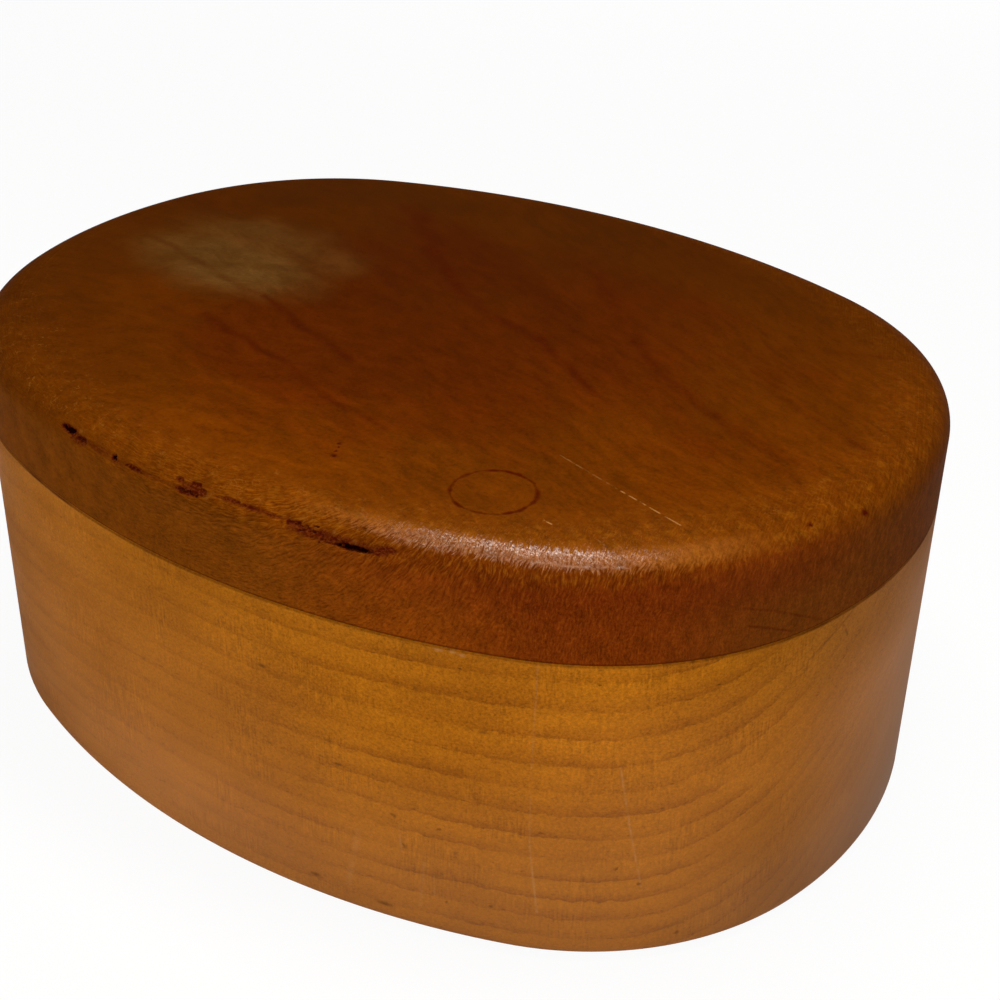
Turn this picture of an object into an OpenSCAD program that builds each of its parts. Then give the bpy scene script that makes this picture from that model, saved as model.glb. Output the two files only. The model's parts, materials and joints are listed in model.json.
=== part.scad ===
// Oval trinket box, routed from one block of wood, under a lid that swivels on a hidden screw.
// Lengths are in millimetres. The origin lies under the middle of the box and +X runs along it.
// The front looks along -Y, and the lid turns about a screw at the front right.

/* [Outline] */
// Length of the box along X
box_length = 130; // [118:1:146]
// Width of the box along Y
box_width = 98; // [90:1:110]
// Radius of the two ends
end_r = 57; // [50:1:64]
// Radius of the two long sides
side_r = 108; // [98:1:125]
// Radius of the four blends between the ends and the sides
corner_r = 40; // [36:1:45]

/* [Body] */
// Height of the body without the lid
body_h = 42.5; // [36:0.5:60]
// Thickness of the wall round the cavity
wall = 11; // [9:0.5:14]
// Thickness of the floor under the cavity
floor_t = 8; // [5:0.5:12]
// Rounding of the body's bottom edge
foot_round = 2.5; // [1:0.25:5]
// Radius of the cutter that routs the cavity, which its inner corners keep
cutter_r = 9.5; // [8:0.25:12]
// Rounding where the cavity's wall meets its floor
floor_round = 6.35; // [3:0.05:7.5]

/* [Lid] */
// Thickness of the lid
lid_t = 12.7; // [11.5:0.1:19]
// Rounding of the lid's upper edge
lid_round = 4.5; // [2:0.25:7]
// Running gap in the seam between the body and the lid
seam_gap = 0.3; // [0.1:0.05:0.6]

/* [Pivot] */
// Distance of the pivot's axis in from the front rim
pivot_inset = 12.1; // [10.5:0.1:15]
// Bearing of the pivot along the front side's arc, from its middle towards +X, in degrees
pivot_bearing = 18; // [8:0.5:20]
// Radius of the post that is left standing round the pivot in the cavity
post_r = 9; // [7:0.25:11]
// Thickness of the lid's wood between the seam and the washer
web_t = 4.7; // [3.5:0.1:6]
// Running gap round the screw's shank in the lid, on the radius
pivot_gap = 0.08; // [0.03:0.01:0.1]
// Running gap between the washer and the lid's wood
washer_gap = 0.1; // [0.05:0.05:0.3]

/* [Screw] */
// Diameter of the screw's plain shank
shank_d = 4.2; // [3.6:0.1:4.4]
// Length of the plain shank under the head
shank_l = 11; // [9:0.5:14]
// Length of the whole screw under the head
screw_l = 32; // [25:0.5:36]
// Diameter of the screw's threaded core
core_d = 3; // [2.4:0.1:3.4]
// Length of the taper at the point
point_l = 5; // [3:0.5:8]
// Diameter of the flat at the very point
point_d = 0.5; // [0.2:0.1:1]
// Diameter of the round head
head_d = 7.8; // [6.5:0.1:8.6]
// Height of the round head
head_h = 2.9; // [2:0.1:3.2]
// Height of the straight rim under the head's dome
head_rim = 0.4; // [0.2:0.1:0.8]
// Width of the slot in the head
slot_w = 1.1; // [0.8:0.1:1.4]
// Depth of the slot in the head
slot_depth = 1.5; // [0.8:0.1:2]
// Fit of the screw in the body's bores, on the radius
screw_fit = 0.03; // [0.01:0.01:0.1]
// Air left in the body under the shank's step and under the point
screw_room = 0.2; // [0.1:0.1:1]

/* [Washer] */
// Gap between the washer's rim and the lid's counterbore, on the radius
washer_room = 0.28; // [0.2:0.02:0.5]
// Thickness of the washer
washer_t = 0.8; // [0.5:0.1:1]
// Gap between the washer's hole and the shank, on the radius
washer_fit = 0.15; // [0.05:0.05:0.3]

/* [Plug] */
// Diameter of the wooden plug over the screw
plug_d = 9.5; // [9.5:0.1:13]
// Air between the plug and the screw's head
head_room = 0.6; // [0.3:0.1:1.5]
// Chamfer of the plug's lower edge
plug_lead = 0.6; // [0.2:0.1:1]
// Glue line round the plug, on the radius
glue_gap = 0.03; // [0.01:0.01:0.1]

/* [Hidden] */
$fn = 180;

// How far a cut runs past the face that it opens
overrun = 1;
// Largest turn of an outline between two of its points, in degrees
facet_angle = 3;
// Steps round a rounded edge
edge_steps = 6;
// Angle between the two sides of a drilled hole's end
drill_angle = 118;

// Fields of an arc. Its shape lies inside its circle where TURN is 1 and outside where it is -1
CENTRE = 0;
RADIUS = 1;
FROM = 2;
TO = 3;
TURN = 4;

// Unit vector at an angle
function direction(angle) = [cos(angle), sin(angle)];

// Angle of a vector
function bearing(v) = atan2(v[1], v[0]);

// The same angle, written as the first value that is not below another one
function from_angle(angle, first) = angle + 360 * ceil((first - angle) / 360);

// The two points where circles meet, left and right of the way from the first to the second
function circles_meet(c1, r1, c2, r2) =
    let (
        gap = norm(c2 - c1),
        ahead = (c2 - c1) / gap,
        left = [-ahead[1], ahead[0]],
        along = (r1 * r1 - r2 * r2 + gap * gap) / (2 * gap),
        across = sqrt(r1 * r1 - along * along)
    )
    [for (side = [1, -1]) c1 + along * ahead + side * across * left];

// Point of an arc at an angle
function arc_point(arc, angle) = arc[CENTRE] + arc[RADIUS] * direction(angle);

// The outline moved in by a distance
function inset(arcs, distance) =
    [for (a = arcs) [a[CENTRE], a[RADIUS] - a[TURN] * distance, a[FROM], a[TO], a[TURN]]];

// Outline of the box: eight tangent arcs, counter-clockwise from the right end
end_c = [box_length / 2 - end_r, 0];
side_c = [0, box_width / 2 - side_r];
corner_c = circles_meet(end_c, end_r - corner_r, side_c, side_r - corner_r)[0];
end_a = bearing(corner_c - end_c);
corner_a = bearing(corner_c - side_c);
half_oval = [
    [end_c, end_r, -end_a, end_a, 1],
    [corner_c, corner_r, end_a, corner_a, 1],
    [side_c, side_r, corner_a, 180 - corner_a, 1],
    [[-corner_c[0], corner_c[1]], corner_r, 180 - corner_a, 180 - end_a, 1]
];
oval = concat(
    half_oval,
    [for (a = half_oval) [-a[CENTRE], a[RADIUS], a[FROM] + 180, a[TO] + 180, a[TURN]]]
);

// The pivot's axis
pivot = -side_c + (side_r - pivot_inset) * direction(pivot_bearing - 90);

// Outline of the cavity: the oval inside the wall, led round the post by the cutter
wall_arcs = inset(oval, wall);
arc_count = len(wall_arcs);

// The cutter's place beside the post, before it (0) or after it (1), and the wall's arc there
function cutter_stop(side) =
    [
        for (k = [0 : arc_count - 1])
            let (
                arc = wall_arcs[k],
                at = circles_meet(
                    pivot, post_r + cutter_r, arc[CENTRE], arc[RADIUS] - cutter_r
                )[side],
                angle = from_angle(bearing(at - arc[CENTRE]), arc[FROM])
            )
            if (angle <= arc[TO]) [k, at, angle]
    ][0];

// The wall's arcs from beyond the post round to just before it
function open_wall(before, after) =
    let (last = (before[0] - after[0] + arc_count - 1) % arc_count + 1)
    [
        for (i = [0 : last])
            let (arc = wall_arcs[(after[0] + i) % arc_count])
            [
                arc[CENTRE],
                arc[RADIUS],
                i == 0 ? after[2] : arc[FROM],
                i == last ? before[2] : arc[TO],
                1
            ]
    ];

// The arcs that lead from the wall round the post and back to the wall
function post_arcs(before, after) =
    let (
        into_post = bearing(pivot - before[1]),
        out_of_post = bearing(pivot - after[1]),
        post_from = bearing(after[1] - pivot),
        post_to = bearing(before[1] - pivot)
    )
    [
        [before[1], cutter_r, before[2], from_angle(into_post, before[2]), 1],
        [pivot, post_r, post_from, from_angle(post_to, post_from), -1],
        [after[1], cutter_r, out_of_post, from_angle(after[2], out_of_post), 1]
    ];

stop_before = cutter_stop(0);
stop_after = cutter_stop(1);
cavity = concat(open_wall(stop_before, stop_after), post_arcs(stop_before, stop_after));

// Points in sight of all of the box's outline, and of all of the cavity's
box_hub = [0, 0];
cavity_hub = pivot + box_width / 2 * direction(pivot_bearing + 90);

// Heights of the stack on the pivot's axis
lid_z = body_h + seam_gap;
top_z = lid_z + lid_t;
washer_z = lid_z + web_t + washer_gap;
head_z = washer_z + washer_t;
step_z = head_z - shank_l;
point_z = head_z - screw_l;
plug_z = head_z + head_h + head_room;

// Bores of the pivot, and the washer in the widest one
counterbore_d = plug_d + 2 * glue_gap;
washer_d = counterbore_d - 2 * washer_room;
pilot_d = core_d + 2 * screw_fit;
drill_end = pilot_d / 2 / tan(drill_angle / 2);

// Points along an outline, moved in by a distance, at a height
function ring(arcs, distance, z) =
    [
        for (arc = inset(arcs, distance))
            let (steps = 2 * ceil((arc[TO] - arc[FROM]) / facet_angle / 2))
            for (i = [0 : steps - 1])
                let (
                    part = arc[TURN] > 0 ? i / steps : 1 - i / steps,
                    at = arc_point(arc, arc[FROM] + part * (arc[TO] - arc[FROM]))
                )
                [at[0], at[1], z]
    ];

// Block inside an outline, with its lower edge rounded. The whole outline is in sight of hub
module rounded_block(arcs, hub, height, round) {
    edge = [for (i = [0 : edge_steps]) 90 * i / edge_steps];
    rings = concat(
        [for (t = edge) ring(arcs, round * (1 - sin(t)), round * (1 - cos(t)))],
        [ring(arcs, 0, height)]
    );
    n = len(rings[0]);
    top = n * (len(rings) - 1);
    low_hub = n * len(rings);
    high_hub = low_hub + 1;
    points = concat(
        [for (r = rings) each r],
        [[hub[0], hub[1], 0], [hub[0], hub[1], height]]
    );
    walls = [
        for (base = [0 : n : top - n], j = [0 : n - 1])
            let (k = (j + 1) % n)
            each [[base + j, base + n + j, base + n + k], [base + j, base + n + k, base + k]]
    ];
    floor_fan = [for (j = [0 : n - 1]) [low_hub, j, (j + 1) % n]];
    top_fan = [for (j = [0 : n - 1]) [high_hub, top + (j + 1) % n, top + j]];
    polyhedron(points, concat(walls, floor_fan, top_fan));
}

// Children moved to the pivot's axis, at a height
module on_pivot(z) {
    translate([pivot[0], pivot[1], z]) children();
}

// Block of wood with the routed cavity, and the bores for the screw in its post
module body() {
    color("peru") difference() {
        rounded_block(oval, box_hub, body_h, foot_round);
        translate([0, 0, floor_t])
            rounded_block(cavity, cavity_hub, body_h - floor_t + overrun, floor_round);
        on_pivot(step_z - screw_room)
            cylinder(d = shank_d + 2 * screw_fit, h = body_h + overrun - step_z + screw_room);
        on_pivot(point_z - screw_room)
            cylinder(d = pilot_d, h = step_z - point_z);
        on_pivot(point_z - screw_room - drill_end)
            cylinder(d1 = 0, d2 = pilot_d, h = drill_end);
    }
}

// Lid of the same outline, rounded above and counterbored over the screw
module lid() {
    color("sienna") difference() {
        translate([0, 0, top_z])
            mirror([0, 0, 1])
                rounded_block(oval, box_hub, lid_t, lid_round);
        on_pivot(lid_z - overrun)
            cylinder(d = shank_d + 2 * pivot_gap, h = lid_t);
        on_pivot(lid_z + web_t)
            cylinder(d = counterbore_d, h = lid_t);
    }
}

// Plug that is glued over the screw and planed flush with the lid
module lid_plug() {
    plug_r = plug_d / 2;
    plug_t = top_z - plug_z;
    color("sienna") on_pivot(plug_z)
        rotate_extrude()
            polygon([
                [0, 0],
                [plug_r - plug_lead, 0],
                [plug_r, plug_lead],
                [plug_r, plug_t],
                [0, plug_t]
            ]);
}

// Slotted round-head wood screw, the lid's pivot
module pivot_screw() {
    head_r = head_d / 2;
    dome_h = head_h - head_rim;
    dome_r = (head_r * head_r + dome_h * dome_h) / (2 * dome_h);
    color("silver") difference() {
        union() {
            on_pivot(point_z)
                rotate_extrude()
                    polygon([
                        [0, 0],
                        [point_d / 2, 0],
                        [core_d / 2, point_l],
                        [core_d / 2, screw_l - shank_l],
                        [shank_d / 2, screw_l - shank_l],
                        [shank_d / 2, screw_l],
                        [0, screw_l]
                    ]);
            on_pivot(head_z)
                rotate_extrude()
                    intersection() {
                        translate([0, head_h - dome_r]) circle(dome_r);
                        square([head_r, head_h]);
                    }
        }
        on_pivot(head_z + head_h - slot_depth)
            translate([-head_d, -slot_w / 2, 0])
                cube([2 * head_d, slot_w, slot_depth + overrun]);
    }
}

// Flat washer between the screw's head and the lid
module pivot_washer() {
    color("silver") on_pivot(washer_z)
        difference() {
            cylinder(d = washer_d, h = washer_t);
            translate([0, 0, -overrun])
                cylinder(d = shank_d + 2 * washer_fit, h = washer_t + 2 * overrun);
        }
}

body();
lid();
lid_plug();
pivot_screw();
pivot_washer();
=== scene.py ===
"""Looks for a small oval wooden box whose lid swivels sideways on a hidden screw.

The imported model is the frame. Every solid in it is replaced by a finer mesh on the same
outline, with eased edges, a gouged and worn lid, a threaded screw and procedural wood.
"""

import json
import math
import random

import bmesh
import bpy
from mathutils import Matrix, Vector, geometry, noise


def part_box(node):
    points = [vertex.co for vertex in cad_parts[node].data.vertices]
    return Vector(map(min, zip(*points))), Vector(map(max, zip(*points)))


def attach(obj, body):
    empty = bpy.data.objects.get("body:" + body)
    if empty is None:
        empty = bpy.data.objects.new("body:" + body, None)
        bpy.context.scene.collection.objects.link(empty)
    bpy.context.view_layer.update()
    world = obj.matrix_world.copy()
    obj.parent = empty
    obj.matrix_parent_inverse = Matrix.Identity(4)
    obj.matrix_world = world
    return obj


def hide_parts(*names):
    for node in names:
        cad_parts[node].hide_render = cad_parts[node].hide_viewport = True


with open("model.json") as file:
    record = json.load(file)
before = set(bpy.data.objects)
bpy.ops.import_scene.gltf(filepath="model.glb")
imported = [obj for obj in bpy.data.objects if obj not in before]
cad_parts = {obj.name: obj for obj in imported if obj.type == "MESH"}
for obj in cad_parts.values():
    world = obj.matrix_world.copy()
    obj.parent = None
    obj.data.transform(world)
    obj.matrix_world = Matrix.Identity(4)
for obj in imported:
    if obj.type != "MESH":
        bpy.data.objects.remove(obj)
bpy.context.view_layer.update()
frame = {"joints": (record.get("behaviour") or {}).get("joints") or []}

MM = 0.001

# Outline: tangent arcs for the two ends, the two sides and the four corners between them,
# counted anticlockwise from the right end.
END_R = 57 * MM
SIDE_R = 108 * MM
CORNER_R = 40 * MM
FRONT_ARC = 6
FRONT_RIGHT_ARC = 7

# Fineness of the meshes.
COARSE_STEP = 0.6 * MM
FINE_STEP = 0.18 * MM
ROUND_SIDES = 96
BORE_SIDES = 64
CORE_SIDES = 48
THREAD_SIDES = 36
SHARP_ANGLE = math.radians(40)

# Body.
WALL = 11 * MM
FLOOR = 8 * MM
FOOT_ROUND = 2.5 * MM
CUTTER_R = 9.5 * MM
POST_R = 9 * MM
FLOOR_ROUND = 6.35 * MM
RIM_EASE = 0.2 * MM
CAVITY_EASE = 0.5 * MM

# Lid. It hangs a little lower than its solid, which leaves a tighter seam.
LID_ROUND = 4.5 * MM
LID_EASE = 0.15 * MM
SEAM = 0.1 * MM
WEB = 4.7 * MM
COUNTERBORE_R = 4.756 * MM
LID_BORE_R = 2.18 * MM
PLUG_EASE = 0.03 * MM
PLUG_LEAD = 0.6 * MM

# Screw and washer. The starts of the shank and of its bore are heights above the point.
SHANK_R = 2.1 * MM
SHANK_START = 21 * MM
SHANK_BORE_R = 2.13 * MM
SHANK_BORE_START = 20.8 * MM
PILOT_R = 1.53 * MM
CORE_R = 1.5 * MM
CORE_LAP = 0.3 * MM
HEAD_R = 3.9 * MM
HEAD_RIM = 0.4 * MM
DOME_TURN = math.radians(84)
SLOT_W = 1.1 * MM
SLOT_DEPTH = 1.5 * MM
POINT_R = 0.25 * MM
POINT_LENGTH = 5 * MM
POINT_ROOM = 0.2 * MM
WASHER_BORE_R = 2.25 * MM
WASHER_EASE = 0.12 * MM

# Thread. The root's place and half width are shares of the core and of the pitch. The last two
# values are what is left of core and thread at the point.
THREAD_PITCH = 1.7 * MM
CREST_HALF = 0.06 * MM
ROOT_SINK = 0.98
ROOT_HALF = 0.32
POINT_CORE = 0.17
POINT_THREAD = 0.1

_, body_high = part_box("body")
lid_low, lid_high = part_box("lid")
plug_low, plug_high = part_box("lid_plug")
screw_low, screw_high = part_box("pivot_screw")
washer_low, washer_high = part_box("pivot_washer")
half_length, half_width = lid_high.x, lid_high.y
body_top, lid_top = body_high.z, lid_high.z
lid_bottom = body_top + SEAM
pivot = Vector(frame["joints"][0]["pos_m"][:2])


def unit(angle):
    return Vector((math.cos(angle), math.sin(angle)))


def angle_of(vector):
    return math.atan2(vector.y, vector.x) % math.tau


def circles_meet(first, first_r, second, second_r):
    """The meeting point of two circles that lies left of the line between their centres."""
    along = second - first
    apart = along.length
    along /= apart
    reach = (first_r**2 - second_r**2 + apart**2) / (2 * apart)
    rise = math.sqrt(first_r**2 - reach**2)
    return first + along * reach + Vector((-along.y, along.x)) * rise


def oval_arcs():
    """The outline, anticlockwise from the right end, as (centre, radius, start, end)."""
    end = Vector((half_length - END_R, 0))
    side = Vector((0, half_width - SIDE_R))
    corner = circles_meet(end, END_R - CORNER_R, side, SIDE_R - CORNER_R)
    kinds = ((end, END_R), (corner, CORNER_R), (side, SIDE_R), (corner, CORNER_R)) * 2
    end_angle = angle_of(corner - end)
    side_angle = angle_of(corner - side)
    half_turn = [end_angle, side_angle, math.pi - side_angle, math.pi - end_angle]
    stops = [-end_angle] + half_turn + [math.pi + angle for angle in half_turn]
    arcs = []
    for (centre, radius), start, stop in zip(kinds, stops, stops[1:]):
        way = unit((start + stop) / 2)
        mirrored = Vector([c * math.copysign(1, w) for c, w in zip(centre, way)])
        arcs.append((mirrored, radius, start, stop))
    return arcs


def cavity_arcs():
    """The cavity: the outline moved in by the wall, led round the screw post by the cutter."""
    inner = [(c, r - WALL, a, b) for c, r, a, b in oval_arcs()]
    front, corner = inner[FRONT_ARC], inner[FRONT_RIGHT_ARC]
    reach = POST_R + CUTTER_R
    before = circles_meet(pivot, reach, front[0], front[1] - CUTTER_R)
    after = circles_meet(corner[0], corner[1] - CUTTER_R, pivot, reach)
    front_stop = angle_of(before - front[0])
    corner_start = angle_of(after - corner[0])
    return inner[:FRONT_ARC] + [
        (front[0], front[1], front[2], front_stop),
        (before, CUTTER_R, front_stop, angle_of(pivot - before)),
        (pivot, POST_R, angle_of(before - pivot), angle_of(after - pivot)),
        (after, CUTTER_R, angle_of(pivot - after), corner_start),
        (corner[0], corner[1], corner_start, corner[3]),
    ]


def sample(arcs, fine=None):
    """Points along the arcs and the ways out of the closed shape there; one arc may be finer."""
    path = []
    for index, (centre, radius, start, stop) in enumerate(arcs):
        step = FINE_STEP if index == fine else COARSE_STEP
        count = max(1, math.ceil(abs(stop - start) * radius / step))
        outward = 1 if stop > start else -1
        for i in range(count):
            way = unit(start + (stop - start) * i / count)
            path.append((centre + way * radius, way * outward))
    return path


def skin(bm, rings):
    """Quads between neighbouring loops."""
    for low, high in zip(rings, rings[1:]):
        for i in range(len(low)):
            j = (i + 1) % len(low)
            bm.faces.new((low[i], low[j], high[j], high[i]))


def swept(bm, path, profile):
    """Loops on the path moved in by each (inset, height), with quads between them."""
    rings = [[bm.verts.new((*(p - n * inset), z)) for p, n in path] for inset, z in profile]
    skin(bm, rings)
    return rings


def turned(bm, levels, sides=ROUND_SIDES, centre=pivot):
    """Round loops of each (radius, height), with quads between them."""
    ways = [unit(math.tau * i / sides) for i in range(sides)]
    rings = [[bm.verts.new((*(centre + way * r), z)) for way in ways] for r, z in levels]
    skin(bm, rings)
    return rings


def goes_round(loop, point):
    """Whether a closed loop of vertices goes round the point, seen from above."""
    odd = False
    for v, w in zip(loop, loop[1:] + loop[:1]):
        a, b = v.co, w.co
        if (a.y > point.y) != (b.y > point.y):
            odd ^= point.x < a.x + (point.y - a.y) / (b.y - a.y) * (b.x - a.x)
    return odd


# Settings of the triangulation: keep the triangles inside the loops, join points this close.
INSIDE_ONLY = 1
SAME_POINT = 1e-6


def cap(bm, *loops):
    """A flat face of triangles inside the first loop and outside the others."""
    verts = [v for loop in loops for v in loop]
    edges = []
    for loop in loops:
        first, count = len(edges), len(loop)
        edges += [(first + i, first + (i + 1) % count) for i in range(count)]
    flat = [v.co.xy / MM for v in verts]
    found = geometry.delaunay_2d_cdt(flat, edges, [], INSIDE_ONLY, SAME_POINT)
    triangles, sources = found[2:4]
    for corners in triangles:
        face = [verts[sources[i][0]] for i in corners]
        middle = sum((v.co for v in face), Vector()) / len(face)
        if not any(goes_round(hole, middle) for hole in loops[1:]):
            bm.faces.new(face)


def quarter(radius, steps):
    """(inset, rise) along a quarter round, from the wall up to the flat."""
    turns = [math.radians(90 * i / steps) for i in range(steps + 1)]
    return [(radius * (1 - math.cos(t)), radius * math.sin(t)) for t in turns]


def spread(low, high, count):
    return [low + (high - low) * i / count for i in range(count + 1)]


def link(name, data):
    """A new object of the scene."""
    item = bpy.data.objects.new(name, data)
    bpy.context.scene.collection.objects.link(item)
    return item


def to_mesh(bm, name, material):
    mesh = bpy.data.meshes.new(name)
    bm.to_mesh(mesh)
    bm.free()
    mesh.materials.append(material)
    return mesh


def to_object(bm, name, body, slot, material, *nodes):
    """Makes the mesh a piece that rides on a body and stands for the CAD nodes."""
    bmesh.ops.recalc_face_normals(bm, faces=bm.faces[:])
    mesh = to_mesh(bm, name, material)
    mesh.polygons.foreach_set("use_smooth", [True] * len(mesh.polygons))
    mesh.set_sharp_from_angle(angle=SHARP_ANGLE)
    piece = link(name, mesh)
    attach(piece, body)
    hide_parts(*nodes)


# Damage along the front of the lid: (place along the front, drop below the top, half length,
# half height, depth, darkness), all but the last in millimetres.
GOUGES = (
    (-21.9, 2.4, 1.9, 0.62, 0.34, 1.0),
    (-19.2, 2.6, 1.5, 0.5, 0.24, 0.9),
    (-19.9, 2.95, 2.0, 0.65, 0.14, 0.45),
    (-15.6, 2.6, 2.4, 0.6, 0.07, 0.35),
    (-12.9, 2.55, 0.6, 0.5, 0.3, 1.0),
    (-12.4, 2.75, 1.6, 0.6, 0.08, 0.35),
    (-9.3, 2.65, 1.7, 0.4, 0.22, 0.85),
    (-2.1, 1.75, 0.7, 0.42, 0.2, 0.75),
    (0.4, 1.65, 1.0, 0.4, 0.2, 0.7),
    (-0.6, 2.65, 2.2, 0.46, 0.26, 0.92),
    (0.2, 2.2, 2.3, 0.8, 0.2, 0.62),
    (5.4, 1.85, 1.5, 0.3, 0.15, 0.7),
    (8.2, 1.92, 1.6, 0.26, 0.14, 0.7),
    (11.2, 2.0, 1.5, 0.26, 0.12, 0.6),
    (13.8, 2.1, 1.0, 0.4, 0.22, 0.8),
    (21.4, 2.95, 2.7, 0.4, 0.8, 1.0),
    (24.4, 2.85, 1.4, 0.4, 0.16, 0.75),
    (25.2, 2.4, 1.6, 0.5, 0.12, 0.6),
    (-17.0, 2.5, 5.0, 0.36, 0.05, 0.35),
    (-8.0, 2.6, 5.5, 0.3, 0.05, 0.35),
    (8.5, 1.95, 7.0, 0.4, 0.06, 0.42),
    (18.5, 2.55, 7.0, 0.75, 0.08, 0.5),
)
# Small pits on the worst stretch: places and drops at its two ends, scatter of the drop, and
# the limits of half length, half height, depth and darkness.
PIT_COUNT = 46
PIT_SEED = 7
PIT_PLACES = (14.2, 21.0)
PIT_DROPS = (2.15, 2.9)
PIT_SCATTER = 0.26
PIT_LIMITS = ((0.2, 0.7), (0.09, 0.2), (0.1, 0.24), (0.6, 0.95))
# Pale splinters: place and drop in millimetres.
SPLINTERS = ((2.3, 2.45), (2.8, 2.2), (15.0, 1.6), (19.0, 2.0), (21.5, 2.35), (-19.5, 1.9))
SPLINTER_R = 0.45 * MM
SPLINTER_PALE = 0.5

# The front begins at this share of the half width. The damage lies on these rings of the lid's
# mesh, within this reach along x.
FRONT_SHARE = 0.7
DAMAGED_RINGS = slice(8, -6)
DAMAGED_REACH = 30 * MM
# Noise that frays the damage (per metre; decay, ratio and count of octaves) and its strength,
# how steep a mark's sides are, how far off it is looked for, and how far it leans downwards.
FRAY_PER_METRE = 2600
FRAY_OCTAVES = (0.8, 2.0, 3)
FRAY = 0.45
MARK_SLOPE = 1.5
MARK_REACH = 1.3
MARK_LEAN = 0.5


def lid_damage():
    """The listed gouges, then small pits scattered along the worst stretch."""
    chance = random.Random(PIT_SEED)
    (first, last), (drop_first, drop_last) = PIT_PLACES, PIT_DROPS
    pits = []
    for _ in range(PIT_COUNT):
        t = chance.random()
        place = first + (last - first) * t
        drop = drop_first + (drop_last - drop_first) * t + chance.gauss(0, PIT_SCATTER)
        pits.append((place, drop, *(chance.uniform(*limits) for limits in PIT_LIMITS)))
    return GOUGES + tuple(pits)


def on_round(front, place, drop):
    """The point of the front round-over at a place along x and a drop below the top."""
    point, normal = min(front, key=lambda pn: abs(pn[0].x - place))
    rise = LID_ROUND - drop
    inset = LID_ROUND - math.sqrt(max(0, LID_ROUND**2 - rise**2))
    return Vector((*(point - normal * inset), lid_top - drop))


def lid_marks(front):
    """The damage as (centre, direction along it, half length, half height, depth, darkness)."""
    marks = []
    for place, drop, half_l, half_h, depth, dark in lid_damage():
        centre = on_round(front, place * MM, drop * MM)
        ahead = on_round(front, (place + 1) * MM, drop * MM)
        along = (ahead - centre).normalized()
        marks.append((centre, along, half_l * MM, half_h * MM, depth * MM, dark))
    return marks


def damage_at(home, fray, marks):
    """How far the marks push the point in, and how dark it is there."""
    sink, dark = 0, 0
    for centre, along, half_l, half_h, depth, shade in marks:
        off = home - centre
        if abs(off.x) > MARK_REACH * half_l + half_h:
            continue
        run = off.dot(along)
        across = (off - along * run).length
        edge = 1 - (run / half_l) ** 2 - (across / half_h) ** 2 + FRAY * fray
        full = min(1, MARK_SLOPE * edge)
        sink = max(sink, depth * full)
        dark = max(dark, shade * full)
    return sink, dark


def damage_lid(path, rings, front_centre, gouge_layer, splinter_layer):
    """Sinks the marks into the front round-over and writes them down for the material."""
    front_y = -FRONT_SHARE * half_width
    front = [pn for pn in path if pn[0].y < front_y]
    marks = lid_marks(front)
    tips = [on_round(front, x * MM, drop * MM) for x, drop in SPLINTERS]
    zone = [
        v
        for loop in rings[DAMAGED_RINGS]
        for v, (p, _) in zip(loop, path)
        if p.y < front_y and abs(p.x) < DAMAGED_REACH
    ]
    for v in zone:
        home = v.co.copy()
        fray = noise.fractal(home * FRAY_PER_METRE, *FRAY_OCTAVES)
        sink, dark = damage_at(home, fray, marks)
        nearest = max(max(0, 1 - (home - tip).length / SPLINTER_R) for tip in tips)
        v[gouge_layer] = dark
        v[splinter_layer] = nearest * max(0, SPLINTER_PALE + fray)
        flat = front_centre - home.xy
        inward = Vector((*flat, -MARK_LEAN * flat.length)).normalized()
        v.co = home + inward * sink


def make_lid(material):
    """The board with its round-over, the damage along its front and the stepped bore."""
    arcs = oval_arcs()
    path = sample(arcs, fine=FRONT_ARC)
    bm = bmesh.new()
    layers = [bm.verts.layers.float.new(name) for name in ("gouge", "splinter")]
    shoulder = lid_top - LID_ROUND
    profile = [(LID_EASE, lid_bottom)]
    profile += [(0, z) for z in spread(lid_bottom + LID_EASE, shoulder, count=16)]
    profile += [(inset, shoulder + rise) for inset, rise in quarter(LID_ROUND, steps=40)[1:]]
    rings = swept(bm, path, profile)
    damage_lid(path, rings, arcs[FRONT_ARC][0], *layers)

    web_top = lid_low.z + WEB
    inner = turned(bm, (
        (COUNTERBORE_R + PLUG_EASE, lid_top),
        (COUNTERBORE_R, lid_top - PLUG_EASE),
        (COUNTERBORE_R, web_top),
        (LID_BORE_R, web_top),
        (LID_BORE_R, lid_bottom),
    ))
    cap(bm, rings[-1], inner[0])
    cap(bm, rings[0], inner[-1])
    to_object(bm, "lid_board", "lid", "lid_wood", material, "lid")


def make_plug(material):
    """The flush plug over the screw, with eased edges."""
    bm = bmesh.new()
    radius = (plug_high.x - plug_low.x) / 2
    rings = turned(bm, (
        (radius - PLUG_LEAD, plug_low.z),
        (radius, plug_low.z + PLUG_LEAD),
        (radius, plug_high.z - PLUG_EASE),
        (radius - PLUG_EASE, plug_high.z),
    ))
    cap(bm, rings[0])
    cap(bm, rings[-1])
    to_object(bm, "lid_plug_face", "lid", "lid_wood", material, "lid_plug")


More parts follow.
